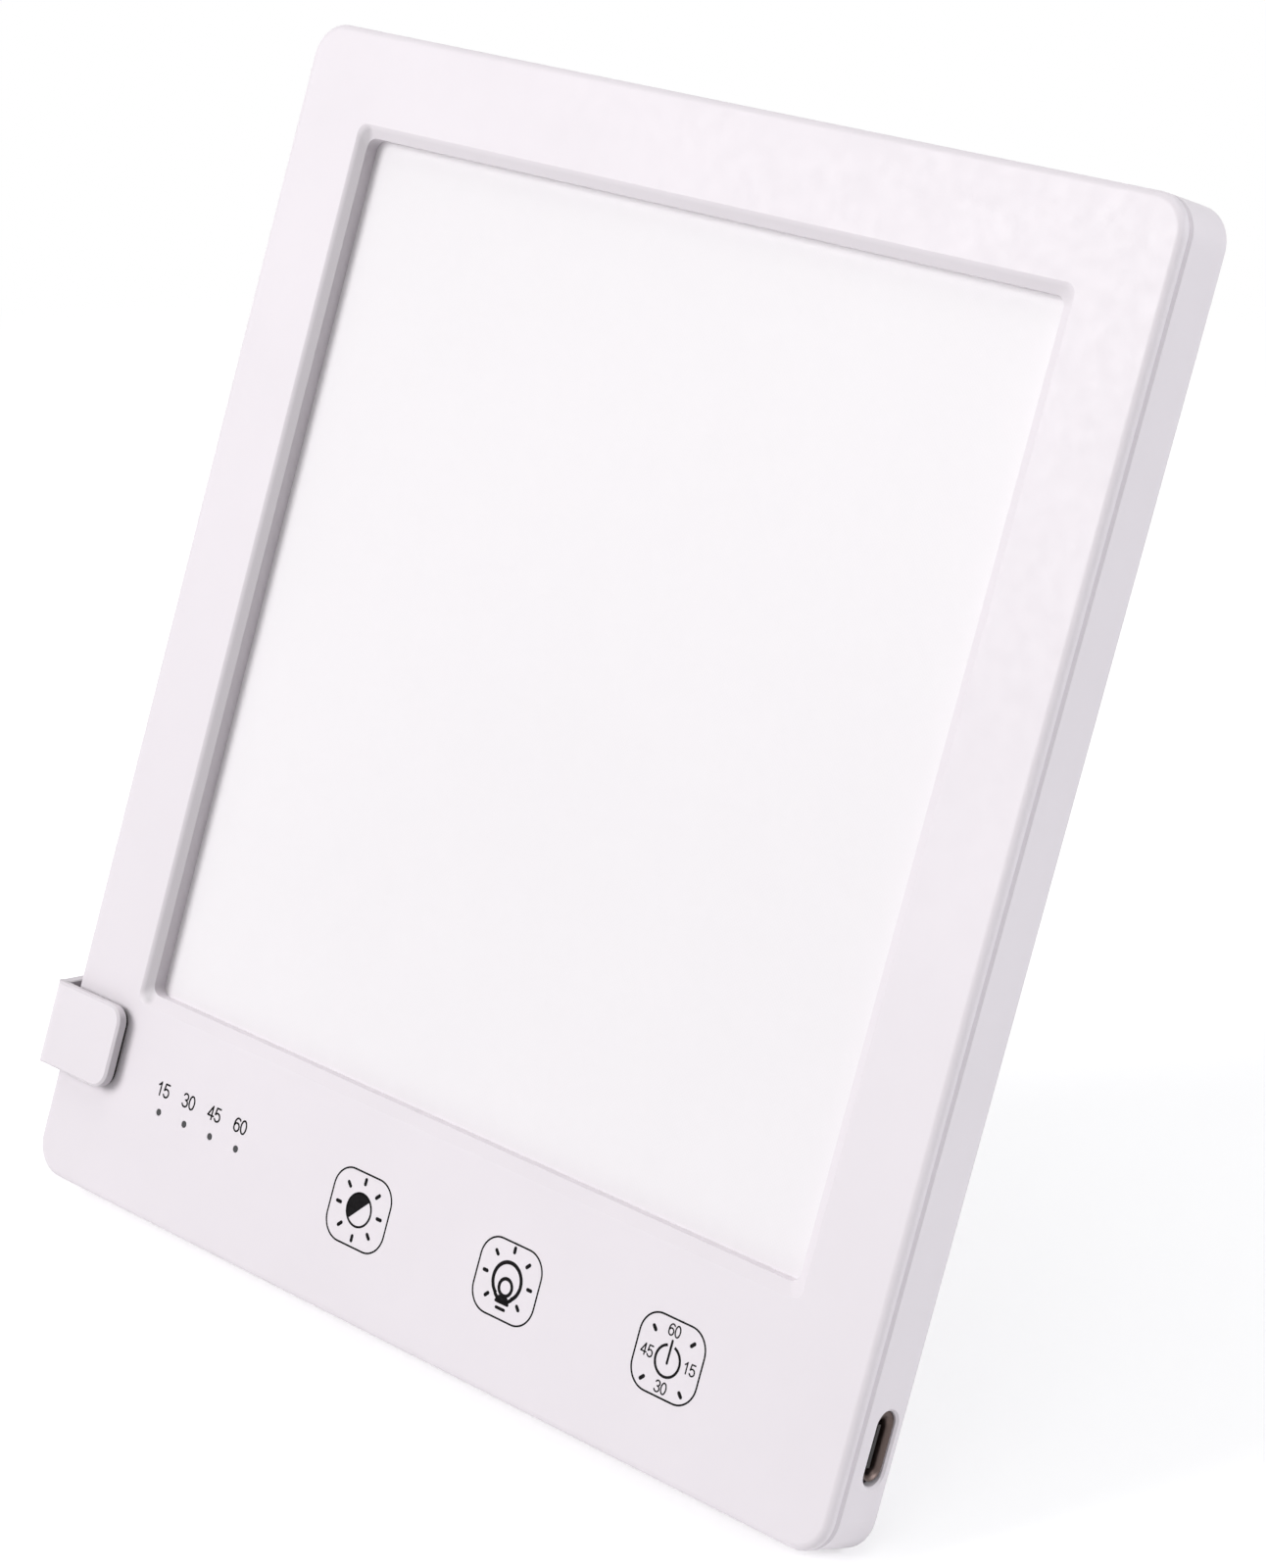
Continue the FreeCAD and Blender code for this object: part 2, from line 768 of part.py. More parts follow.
def leg_foot_pad():
    front = leg_foot_front + leg_toe_radius + foot_pad_inset
    rear = leg_foot_rear - leg_toe_radius - foot_pad_inset
    points = [(front, level_line(front, 0.0)), (rear, level_line(rear, 0.0)),
              (rear, level_line(rear, foot_pad_thickness)), (front, level_line(front, foot_pad_thickness))]
    return side_profile(points, clip_outer + foot_pad_side_inset, leg_inner - foot_pad_side_inset)


def build_all():
    return {
        "front_bezel": front_bezel(),
        "back_cover": back_cover(),
        "diffuser": stack_sheet(window_recess, diffuser_rear, 0.0),
        "light_guide": stack_sheet(diffuser_rear, guide_rear, 0.0),
        "reflector_sheet": stack_sheet(guide_rear, reflector_rear, fence_gap),
        "led_tray": led_tray(),
        "strip_board_left": strip_board(-1),
        "strip_board_right": strip_board(1),
        "strip_leds_left": strip_leds(-1),
        "strip_leds_right": strip_leds(1),
        "strip_leads_left": strip_leads(-1),
        "strip_leads_right": strip_leads(1),
        "control_board": control_board(),
        "lead_connectors": lead_connectors(),
        "controller_chips": controller_chips(),
        "driver_inductor": driver_inductor(),
        "driver_capacitors": driver_capacitors(),
        "touch_sensor_pads": touch_sensor_pads(),
        "indicator_leds": indicator_leds(),
        "indicator_light_pipe": indicator_light_pipe(),
        "usb_socket_shell": usb_socket_shell(),
        "usb_socket_tongue": usb_socket_tongue(),
        "board_screws": board_screws(),
        "case_screws": case_screws(),
        "stand_clip": stand_clip(),
        "clip_front_liner": clip_liner(-clip_front_gap, -liner_gap),
        "clip_rear_liner": clip_liner(case_depth + liner_gap, clip_rear_inner),
        "hinge_pin": hinge_pin(),
        "stand_leg": stand_leg(),
        "leg_foot_pad": leg_foot_pad(),
    }


def stand_up(shape):
    """Lean the panel back about its bottom edge and set its rear bottom edge on the table."""
    stood = shape.copy()
    stood.rotate(V(0, 0, 0), V(1, 0, 0), -lean_angle)
    stood.translate(V(0, 0, rear_edge_drop))
    return stood


def stood_point(x, y, z):
    return V(x, y * lean_cos + z * lean_sin, z * lean_cos - y * lean_sin + rear_edge_drop)


def main():
    os.makedirs("parts", exist_ok=True)
    stood = {}
    for name, shape in build_all().items():
        stood[name] = stand_up(shape)
    everything = Part.makeCompound(list(stood.values())).optimalBoundingBox(False)
    centre = V((everything.XMin + everything.XMax) / 2.0, (everything.YMin + everything.YMax) / 2.0, 0.0)
    facets = 0
    for name, shape in stood.items():
        shape.translate(-centre)
        if not shape.isValid():
            print("not valid:", name)
        shape.exportStep(os.path.join("parts", name + ".step"))
        facets += len(shape.tessellate(0.1)[1])
        print(name, len(shape.Solids), "solids", round(shape.Volume, 1), "mm3")
    pad_middle = (leg_foot_front + leg_foot_rear) / 2.0
    print("box", round(everything.XLength, 3), round(everything.YLength, 3), round(everything.ZLength, 3))
    print("lowest", round(everything.ZMin, 4), "facets", facets)
    print("hinge", stood_point(hinge_x, hinge_y, clip_bottom) - centre)
    print("hinge axis", V(0, lean_sin, lean_cos))
    print("foot", stood_point((clip_outer + leg_inner) / 2.0, pad_middle, level_line(pad_middle, 0.0)) - centre)
    print("port", stood_point(half_width - socket_recess, port_depth, port_level) - centre)
    print("panel origin", stood_point(0.0, 0.0, 0.0) - centre)


main()
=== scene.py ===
import math

import bmesh
import bpy
from mathutils import Matrix, Vector

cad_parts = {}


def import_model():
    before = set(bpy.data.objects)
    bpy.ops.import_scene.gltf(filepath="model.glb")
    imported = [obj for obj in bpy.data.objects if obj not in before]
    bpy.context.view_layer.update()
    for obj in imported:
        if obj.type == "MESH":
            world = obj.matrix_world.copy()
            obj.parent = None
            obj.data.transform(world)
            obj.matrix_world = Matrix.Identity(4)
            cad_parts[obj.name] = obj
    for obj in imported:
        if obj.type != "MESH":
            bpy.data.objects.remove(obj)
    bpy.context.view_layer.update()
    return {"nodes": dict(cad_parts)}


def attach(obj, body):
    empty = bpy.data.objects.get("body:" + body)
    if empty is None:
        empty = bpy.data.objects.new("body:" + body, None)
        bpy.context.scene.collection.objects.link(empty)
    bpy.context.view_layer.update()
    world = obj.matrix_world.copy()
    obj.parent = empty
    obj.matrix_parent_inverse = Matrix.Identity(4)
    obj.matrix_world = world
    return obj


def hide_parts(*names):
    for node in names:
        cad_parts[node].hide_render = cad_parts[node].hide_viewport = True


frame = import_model()
nodes = frame["nodes"]

# The panel's own frame, in millimetres: x right from the middle, y into the depth, z up the face
LEAN = math.radians(21.4)
LEAN_SIN = math.sin(LEAN)
LEAN_COS = math.cos(LEAN)
ORIGIN = (1.6, -63.8830089, 4.0136446)

# Sizes that the solids have too, in the panel's frame
HALF_WIDTH = 90.0
HALF_HEIGHT = 100.0
SEAM_DEPTH = 2.0
WINDOW_HALF = 74.8
WINDOW_LOW = 34.0
WINDOW_TOP = 184.8
BEVEL_WIDTH = 2.0
RECESS_HALF = WINDOW_HALF - BEVEL_WIDTH
RECESS_TOP = WINDOW_TOP - BEVEL_WIDTH
RECESS_DEPTH = 3.4
PLATE_FRONT = -2.8
PLATE_REAR = -1.0
PLATE_EDGE = -75.0
PLATE_LOW = 18.0
PLATE_TOP = 32.3
PLATE_CORNER = 3.0
CLIP_INNER = -91.2
LINER_LEFT = -88.0
LINER_FACE = -0.1
PORT_DEPTH = 7.5
PORT_LEVEL = 17.0
SCREW_SIDE = 84.2
SCREW_LEVELS = (5.8, 194.2)
HEAD_SEAT = 9.5
HEAD_TOP = 11.1
HEAD_RADIUS = 2.3


def at(x, y, z):
    """A point of the panel's frame, in metres in the row frame."""
    return Vector(((x + ORIGIN[0]) / 1000.0,
                   (y * LEAN_COS + z * LEAN_SIN + ORIGIN[1]) / 1000.0,
                   (z * LEAN_COS - y * LEAN_SIN + ORIGIN[2]) / 1000.0))


# Materials

class Nodes:
    """A short way to write a node tree: add nodes by type and join them by socket name."""

    def __init__(self, name):
        self.material = bpy.data.materials.new(name)
        self.material.use_nodes = True
        self.tree = self.material.node_tree
        self.shader = self.tree.nodes["Principled BSDF"]
        self.place = self.add("ShaderNodeTexCoord").outputs["Object"]

    def add(self, kind, links=(), **values):
        """A new node; a value goes to the node's own setting or else to the socket of that name."""
        node = self.tree.nodes.new(kind)
        for key, value in values.items():
            if hasattr(node, key):
                setattr(node, key, value)
            else:
                node.inputs[key.replace("_", " ")].default_value = value
        for socket, source in dict(links).items():
            self.tree.links.new(source, node.inputs[socket])
        return node

    def noise(self, scale, detail=3.0, place=None):
        return self.add("ShaderNodeTexNoise", {"Vector": place or self.place},
                        Scale=scale, Detail=detail).outputs["Fac"]

    def spread(self, source, low, high, start=0.3, end=0.7):
        """The source from start to end, mapped to low up to high."""
        return self.add("ShaderNodeMapRange", {"Value": source}, From_Min=start, From_Max=end,
                        To_Min=low, To_Max=high).outputs["Result"]

    def rise(self, source, start, end):
        return self.spread(source, 0.0, 1.0, start, end)

    def fall(self, source, start, end):
        return self.spread(source, 1.0, 0.0, start, end)

    def blend(self, source, dark, light):
        ramp = self.add("ShaderNodeValToRGB", {"Fac": source})
        for stop, position, colour in zip(ramp.color_ramp.elements, (0.3, 0.7), (dark, light)):
            stop.position = position
            stop.color = (*colour, 1.0)
        return ramp.outputs["Color"]

    def darkened(self, colour, amount, tone):
        """The colour mixed towards a darker tone by the amount."""
        mix = self.add("ShaderNodeMix", {"Factor": amount}, data_type="RGBA")
        first, second = [socket for socket in mix.inputs if socket.type == "RGBA"]
        self.tree.links.new(colour, first)
        second.default_value = (*tone, 1.0)
        return next(socket for socket in mix.outputs if socket.type == "RGBA")

    def bump(self, source, strength, distance):
        return self.add("ShaderNodeBump", {"Height": source},
                        Strength=strength, Distance=distance).outputs["Normal"]

    def math(self, operation, first, second=None):
        node = self.add("ShaderNodeMath", operation=operation)
        for socket, value in zip(node.inputs, (first, second)):
            if isinstance(value, (int, float)):
                socket.default_value = value
            elif value is not None:
                self.tree.links.new(value, socket)
        return node.outputs["Value"]

    def product(self, *factors):
        result = factors[0]
        for factor in factors[1:]:
            result = self.math("MULTIPLY", result, factor)
        return result

    def panel_axes(self):
        """The panel's x, y and z of the shaded point, in millimetres."""
        upright = self.add("ShaderNodeMapping", {"Vector": self.place})
        upright.inputs["Rotation"].default_value = (LEAN, 0.0, 0.0)
        parts = self.add("ShaderNodeSeparateXYZ", {"Vector": upright.outputs["Vector"]})
        zero = Matrix.Rotation(LEAN, 3, "X") @ Vector(ORIGIN)
        return [self.math("SUBTRACT", self.math("MULTIPLY", parts.outputs[axis], 1000.0), offset)
                for axis, offset in zip("XYZ", zero)]

    def feed(self, **sources):
        for key, source in sources.items():
            self.tree.links.new(source, self.shader.inputs[key.replace("_", " ")])

    def fixed(self, **values):
        for key, value in values.items():
            self.shader.inputs[key.replace("_", " ")].default_value = value


# Painted shade: the tone and strengths of the darkening painted into the case's seam, its window recess and
# onto the clip.
PAINTED_SHADE_TONE = (0.2, 0.19, 0.2)
RECESS_TONE = (0.24, 0.225, 0.24)
SEAM_SHADE = 0.05
RECESS_SHADE = 0.45
RECESS_TOP_SHARE = 0.3
CLIP_SHADE = 0.5


def shade(colour, factor):
    return tuple(min(1.0, channel * factor) for channel in colour)


def case_painted_shade(n, colour):
    """Painted shade: a faint dark line along the seam outside, and a soft shade on the recess's left and top
    walls.
    """
    x, y, z = n.panel_axes()
    aside = n.math("ABSOLUTE", x)
    level = n.math("ABSOLUTE", n.math("SUBTRACT", z, HALF_HEIGHT))
    outside = n.math("MAXIMUM", n.rise(aside, HALF_WIDTH - 3.0, HALF_WIDTH - 2.8),
                     n.rise(level, HALF_HEIGHT - 3.0, HALF_HEIGHT - 2.8))
    # Painted shade: a faint dark line painted along the seam outside.
    from_seam = n.math("ABSOLUTE", n.math("SUBTRACT", y, SEAM_DEPTH))
    seam = n.spread(from_seam, SEAM_SHADE, 0.0, 0.1, 1.0)
    colour = n.darkened(colour, n.product(seam, outside), PAINTED_SHADE_TONE)
    # Painted shade on the recess's left wall and, more faintly, its top wall.
    within = n.product(n.fall(aside, WINDOW_HALF + 1.2, WINDOW_HALF + 2.2),
                       n.fall(z, WINDOW_TOP + 1.2, WINDOW_TOP + 2.2),
                       n.rise(z, WINDOW_LOW - 2.0, WINDOW_LOW - 1.0),
                       n.rise(y, 0.0, 0.4),
                       n.fall(y, RECESS_DEPTH + 0.2, RECESS_DEPTH + 0.6))
    left = n.spread(x, RECESS_SHADE, 0.0, 0.05 - RECESS_HALF, 1.4 - RECESS_HALF)
    top = n.spread(z, 0.0, RECESS_TOP_SHARE * RECESS_SHADE, RECESS_TOP - 1.4, RECESS_TOP - 0.05)
    return n.darkened(colour, n.product(within, n.math("MAXIMUM", left, top)), RECESS_TONE)


def clip_painted_shade(n, colour):
    """Painted shade on the side face at the front plate's right end and on the clip's inner wall, next to
    the lamp's edge.
    """
    x, y, z = n.panel_axes()
    # Painted shade: the plate's end face and the clip's inner wall are darkened.
    edge = n.product(n.rise(y, PLATE_FRONT + 0.3, PLATE_FRONT + 0.5),
                     n.rise(x, PLATE_EDGE - 3.5, PLATE_EDGE - 2.0),
                     n.fall(z, PLATE_TOP - 1.7, PLATE_TOP - 0.3))
    inner = n.product(n.rise(x, CLIP_INNER - 0.7, CLIP_INNER - 0.4),
                      n.rise(y, PLATE_REAR - 0.6, PLATE_REAR + 0.1))
    return n.darkened(colour, n.product(n.math("MAXIMUM", edge, inner), CLIP_SHADE), PAINTED_SHADE_TONE)


def moulded(name, colour, rough, grain=2600.0, depth=0.000012, mottle=0.012, painted_shade=None, **fixed):
    """Moulded plastic: spark grain in the tool, faint flow marks and slightly uneven gloss."""
    n = Nodes(name)
    tint = n.blend(n.noise(38.0, 2.0), shade(colour, 1.0 - mottle), shade(colour, 1.0 + mottle))
    # A given function paints shade into the tint.
    n.feed(Base_Color=painted_shade(n, tint) if painted_shade else tint,
           Roughness=n.spread(n.noise(420.0), rough - 0.05, rough + 0.05),
           Normal=n.bump(n.noise(grain, 2.0), 0.35, depth))
    n.fixed(**fixed)
    return n.material


def metal(name, colour, rough, stretch=(1.0, 1.0, 40.0)):
    """Metal with fine drawn or ground lines along one way, and faint stains."""
    n = Nodes(name)
    scaled = n.add("ShaderNodeMapping", {"Vector": n.place})
    scaled.inputs["Scale"].default_value = stretch
    lines = n.noise(900.0, 4.0, scaled.outputs["Vector"])
    n.feed(Base_Color=n.blend(n.noise(120.0), shade(colour, 0.9), shade(colour, 1.06)),
           Roughness=n.spread(lines, rough - 0.08, rough + 0.1),
           Normal=n.bump(lines, 0.25, 0.000006))
    n.fixed(Metallic=1.0)
    return n.material


def opal_sheet(name, colour, wave=0.62):
    """Opal sheet with a fine weave of raised dots, under half a millimetre apart."""
    n = Nodes(name)
    x, _, z = n.panel_axes()
    turns = 2.0 * math.pi / wave
    across = n.math("SINE", n.product(x, turns))
    up = n.math("SINE", n.product(z, turns))
    dots = n.math("ADD", n.product(across, up, 0.5), 0.5)
    mottle = n.math("ADD", n.product(dots, 0.3), n.product(n.noise(16.0, 2.0), 0.7))
    tint = n.blend(mottle, shade(colour, 0.985), shade(colour, 1.01))
    # Painted shade: the sheet's colour darkens a little towards its top.
    n.feed(Base_Color=n.darkened(tint, n.spread(z, 0.0, 0.1, 40.0, 190.0), shade(colour, 0.45)),
           Roughness=n.spread(dots, 0.36, 0.52, 0.0, 1.0),
           Normal=n.bump(dots, 0.22, 0.00003))
    n.fixed(Subsurface_Weight=0.12, Subsurface_Scale=0.003, Subsurface_Radius=(1.0, 1.0, 1.0))
    return n.material


def solder_mask(name, colour, light):
    """Board with solder mask: tracks that show through it as faint raised lanes."""
    n = Nodes(name)
    tracks = n.add("ShaderNodeTexBrick", {"Vector": n.place}, offset=0.5, Scale=260.0,
                   Mortar_Size=0.03, Color1=(*colour, 1.0), Color2=(*shade(colour, 1.12), 1.0),
                   Mortar=(*light, 1.0))
    n.feed(Base_Color=tracks.outputs["Color"], Roughness=n.spread(n.noise(500.0), 0.3, 0.45),
           Normal=n.bump(tracks.outputs["Fac"], 0.2, 0.00003))
    return n.material


def soft_rubber(name, colour, rough, pitch=0.0009, depth=0.00004):
    """Rubber with a fine pebbled grain and a trace of dusty sheen."""
    n = Nodes(name)
    cells = n.add("ShaderNodeTexVoronoi", {"Vector": n.place}, Scale=1.0 / pitch).outputs["Distance"]
    n.feed(Base_Color=n.blend(n.noise(260.0), shade(colour, 0.94), shade(colour, 1.04)),
           Roughness=n.spread(cells, rough, rough + 0.15, 0.0, 0.8),
           Normal=n.bump(cells, 0.3, depth))
    n.fixed(Sheen_Weight=0.04, Specular_IOR_Level=0.2)
    return n.material


def pad_print_ink():
    """Matt black ink."""
    n = Nodes("pad_print_ink")
    n.feed(Base_Color=n.blend(n.noise(2400.0, 2.0), (0.003, 0.0025, 0.003), (0.008, 0.007, 0.008)),
           Roughness=n.spread(n.noise(900.0), 0.55, 0.7),
           Normal=n.bump(n.noise(5200.0, 2.0), 0.3, 0.00001))
    n.fixed(Specular_IOR_Level=0.06)
    return n.material


CASE = (0.8, 0.752, 0.793)
STAND = shade(CASE, 0.985)
INK = pad_print_ink()
made = {
    "housing": moulded("case_plastic", CASE, 0.42, painted_shade=case_painted_shade, Specular_IOR_Level=0.42),
    "stand": moulded("stand_plastic", STAND, 0.42, Specular_IOR_Level=0.42),
    "clip": moulded("clip_plastic", STAND, 0.42, painted_shade=clip_painted_shade, Specular_IOR_Level=0.42),
    "diffuser": opal_sheet("opal_sheet", (0.865, 0.835, 0.86)),
    "acrylic": moulded("clear_guide", (0.86, 0.88, 0.88), 0.12, 900.0, 0.000008,
                       Transmission_Weight=0.85, IOR=1.49),
    "reflector": moulded("white_film", (0.88, 0.88, 0.88), 0.55, 4000.0, 0.000006),
    "tray": metal("mill_aluminium", (0.74, 0.74, 0.75), 0.34),
    "strip_board": solder_mask("white_mask", (0.82, 0.82, 0.8), (0.7, 0.7, 0.68)),
    "led": moulded("phosphor", (0.86, 0.7, 0.18), 0.3, 3000.0, 0.00002, 0.04, Coat_Weight=0.6),
    "lead": moulded("red_insulation", (0.5, 0.03, 0.025), 0.4, 1500.0, 0.00001, 0.05),
    "control_board": solder_mask("green_mask", (0.012, 0.115, 0.04), (0.03, 0.2, 0.08)),
    "connector": moulded("nylon", (0.8, 0.76, 0.66), 0.45, 1800.0, 0.00001, 0.03),
    "chip": moulded("black_package", (0.018, 0.018, 0.02), 0.5, 3200.0, 0.00002, 0.1),
    "ferrite": moulded("ferrite", (0.03, 0.03, 0.034), 0.62, 2200.0, 0.00003, 0.12),
    "capacitor": moulded("ceramic", (0.4, 0.22, 0.09), 0.5, 2600.0, 0.00001, 0.05),
    "conductive_foam": soft_rubber("foam", (0.02, 0.02, 0.023), 0.8, 0.0006, 0.0001),
    "light_pipe": moulded("smoked_clear", (0.022, 0.022, 0.026), 0.22, 1200.0, 0.000006, 0.05,
                          Coat_Weight=0.4),
    # Steel in a deep brown far darker than its own tone: painted shade for the inside of the port.
    "socket_steel": metal("socket_steel", (0.11, 0.083, 0.076), 0.36, (40.0, 1.0, 1.0)),
    "socket_plastic": moulded("socket_insulator", (0.012, 0.01, 0.009), 0.42, 2400.0, 0.00001, 0.1),
    "gold": metal("contact_gold", (0.75, 0.55, 0.22), 0.22),
    "screw": metal("zinc_plate", (0.56, 0.56, 0.58), 0.3),
    "silicone": soft_rubber("black_silicone", (0.009, 0.0085, 0.009), 0.75),
    "pin": metal("ground_pin", (0.62, 0.62, 0.64), 0.2),
    "foot_rubber": soft_rubber("foot_rubber", (0.62, 0.605, 0.63), 0.6, 0.0012),
}

for name, obj in nodes.items():
    slot = obj.material_slots[0].name.split(".")[0]
    obj.material_slots[0].material = made["clip" if name == "stand_clip" else slot]


# Mesh helpers

ARC_STEPS = 12


def mesh_from(name, bm):
    mesh = bpy.data.meshes.new(name)
    bmesh.ops.recalc_face_normals(bm, faces=bm.faces)
    bm.to_mesh(mesh)
    bm.free()
    return mesh


def placed(name, data):
    obj = bpy.data.objects.new(name, data)
    bpy.context.scene.collection.objects.link(obj)
    return obj


def new_object(name, bm, material, body="lamp"):
    obj = placed(name, mesh_from(name, bm))
    obj.data.materials.append(material)
    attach(obj, body)
    return obj


def smooth(obj, angle=35.0):
    for polygon in obj.data.polygons:
        polygon.use_smooth = True
    obj.data.set_sharp_from_angle(angle=math.radians(angle))


def skin(bm, loops):
    """Faces between closed loops of points; a loop of one point closes to a tip."""
    for first, second in zip(loops, loops[1:]):
        count = max(len(first), len(second))
        for step in range(count):
            after = (step + 1) % count
            corners = (first[step % len(first)], first[after % len(first)],
                       second[after % len(second)], second[step % len(second)])
            bm.faces.new(list(dict.fromkeys(corners)))


def rounded_outline(left, right, low, high, left_radius, right_radius, inset=0.0):
    """Points round a rectangle with arcs at its corners; the inset comes off the arcs' radius."""
    points = []
    for centre_x, centre_z, radius, turn in (
            (right - right_radius, high - right_radius, right_radius, 0.0),
            (left + left_radius, high - left_radius, left_radius, 90.0),
            (left + left_radius, low + left_radius, left_radius, 180.0),
            (right - right_radius, low + right_radius, right_radius, 270.0)):
        reach = max(0.02, radius - inset)
        for step in range(ARC_STEPS + 1):
            angle = math.radians(turn + 90.0 * step / ARC_STEPS)
            points.append((centre_x + reach * math.cos(angle), centre_z + reach * math.sin(angle)))
    return points


def block(bm, x0, x1, y0, y1, z0, z1):
    corners = [bm.verts.new(at(x, y, z)) for x in (x0, x1) for y in (y0, y1) for z in (z0, z1)]
    for face in ((0, 1, 3, 2), (4, 6, 7, 5), (0, 4, 5, 1), (2, 3, 7, 6), (0, 2, 6, 4), (1, 5, 7, 3)):
        bm.faces.new([corners[index] for index in face])


# Printed marks on the control strip, in the panel's millimetres

PRINT_HEIGHT = 0.03
FIGURE_STEP = 0.645
FIGURE_WIDTH = 1.1


def bow(centre_x, centre_z, radius_x, radius_z, start, end, steps=14):
    """Points along part of an ellipse, in shares of a figure's height."""
    angles = [math.radians(start + (end - start) * step / steps) for step in range(steps + 1)]
    return [(centre_x + radius_x * math.cos(angle), centre_z + radius_z * math.sin(angle))
            for angle in angles]


# The pen lines of each figure, in shares of its height
FIGURES = {
    "0": [bow(0.0, 0.5, 0.255, 0.5, 0.0, 360.0, 28)],
    "1": [[(-0.17, 0.76), (-0.05, 0.84), (0.06, 1.0), (0.06, 0.0)]],
    "3": [bow(0.0, 0.755, 0.225, 0.245, 158.0, -90.0), bow(-0.01, 0.26, 0.26, 0.26, 90.0, -160.0)],
    "4": [[(0.12, 0.0), (0.12, 1.0), (-0.28, 0.27), (0.28, 0.27)]],
    "5": [[(0.22, 1.0), (-0.16, 1.0), (-0.22, 0.5)] + bow(0.0, 0.315, 0.26, 0.315, 142.0, -152.0)],
    "6": [bow(0.0, 0.31, 0.25, 0.31, 0.0, 360.0, 24), bow(0.06, 0.46, 0.31, 0.54, 50.0, 192.0)],
}


class Print:
    """Ink on the face of the strip: flat shapes with a real edge, a few hundredths proud."""

    def __init__(self, name, x, z):
        self.name, self.x, self.z = name, x, z
        self.bm = bmesh.new()

    def patch(self, points):
        top = [self.bm.verts.new(at(self.x + px, -PRINT_HEIGHT, self.z + pz)) for px, pz in points]
        foot = [self.bm.verts.new(at(self.x + px, 0.0, self.z + pz)) for px, pz in points]
        self.bm.faces.new(top)
        self.bm.faces.new(foot[::-1])
        for index in range(len(points)):
            after = (index + 1) % len(points)
            self.bm.faces.new((top[index], top[after], foot[after], foot[index]))

    def line(self, start, end, width, caps=6):
        """A stroke with round ends."""
        heading = math.atan2(end[1] - start[1], end[0] - start[0])
        radius = width / 2.0
        points = []
        for centre, turn in ((end, heading - math.pi / 2.0), (start, heading + math.pi / 2.0)):
            for step in range(caps + 1):
                angle = turn + math.pi * step / caps
                points.append((centre[0] + radius * math.cos(angle), centre[1] + radius * math.sin(angle)))
        self.patch(points)

    def arc(self, centre, radius, width, start=0.0, end=360.0, steps=72):
        """A ring or part of one; the width lies inside the radius."""
        inner = radius - width
        for index in range(steps):
            first = math.radians(start + (end - start) * index / steps)
            second = math.radians(start + (end - start) * (index + 1) / steps)
            corners = ((radius, first), (radius, second), (inner, second), (inner, first))
            self.patch([(centre[0] + reach * math.cos(angle), centre[1] + reach * math.sin(angle))
                        for reach, angle in corners])

    def half_disc(self, radius, start, steps=36):
        angles = [math.radians(start + 180.0 * step / steps) for step in range(steps + 1)]
        self.patch([(radius * math.cos(angle), radius * math.sin(angle)) for angle in angles])

    def rays(self, centre, angles, near, far, width):
        for degrees in angles:
            angle = math.radians(degrees)
            self.line((centre[0] + near * math.cos(angle), centre[1] + near * math.sin(angle)),
                      (centre[0] + far * math.cos(angle), centre[1] + far * math.sin(angle)), width)

    def key_outline(self, width=13.4, height=12.3, radius=3.8, stroke=0.29):
        """The thin rounded square round a key."""
        outer, inner = [rounded_outline(-width / 2.0, width / 2.0, -height / 2.0, height / 2.0,
                                        radius, radius, inset) for inset in (0.0, stroke)]
        for index in range(len(outer)):
            after = (index + 1) % len(outer)
            self.patch((outer[index], outer[after], inner[after], inner[index]))

    def digits(self, text, centre, height, pen):
        """Plain light numerals, drawn with one pen width."""
        tall, step = height - pen, FIGURE_STEP * height
        left = centre[0] - step * (len(text) - 1) / 2.0
        for index, figure in enumerate(text):
            for shares in FIGURES[figure]:
                points = [(left + step * index + px * FIGURE_WIDTH * tall, centre[1] + (pz - 0.5) * tall)
                          for px, pz in shares]
                for start, end in zip(points, points[1:]):
                    self.line(start, end, pen, 5)

    def finish(self):
        bmesh.ops.remove_doubles(self.bm, verts=self.bm.verts, dist=1e-7)
        new_object(self.name, self.bm, INK)


KEY_LEVEL = 17.8


def brightness_key():
    mark = Print("print_brightness_key", -13.8, KEY_LEVEL)
    mark.key_outline()
    mark.arc((0.0, 0.0), 2.87, 0.36)
    mark.half_disc(2.75, 45.0)
    mark.rays((0.0, 0.0), range(0, 360, 45), 4.28, 5.05, 0.6)
    mark.finish()


def bulb_key():
    mark = Print("print_bulb_key", 19.9, KEY_LEVEL)
    mark.key_outline()
    mark.arc((0.0, 0.0), 3.23, 0.62, -56.0, 236.0)
    mark.arc((0.0, -1.0), 1.62, 0.56)
    mark.line((-1.72, -2.5), (-1.1, -3.0), 0.6)
    mark.line((1.72, -2.5), (1.1, -3.0), 0.6)
    mark.patch(((-1.0, -2.45), (1.0, -2.45), (1.1, -3.3), (-1.1, -3.3)))
    mark.line((-1.25, -3.42), (1.25, -3.42), 0.55)
    mark.line((-0.85, -4.42), (0.85, -4.42), 0.5)
    mark.rays((0.0, 0.2), (0, 45, 90, 135, 180, 225, 315), 4.45, 5.12, 0.6)
    mark.finish()


def power_key():
    mark = Print("print_power_key", 54.05, KEY_LEVEL)
    mark.key_outline()
    mark.arc((0.0, -0.4), 2.62, 0.42, 107.0, 433.0)
    mark.line((0.0, -0.75), (0.0, 2.75), 0.4)
    mark.rays((0.0, -0.4), (45, 135, 225, 315), 5.15, 5.85, 0.6)
    for minutes, place in (("60", (-0.1, 4.3)), ("15", (4.35, -0.1)),
                           ("30", (0.0, -4.5)), ("45", (-4.25, -0.15))):
        mark.digits(minutes, place, 1.95, 0.23)
    mark.finish()


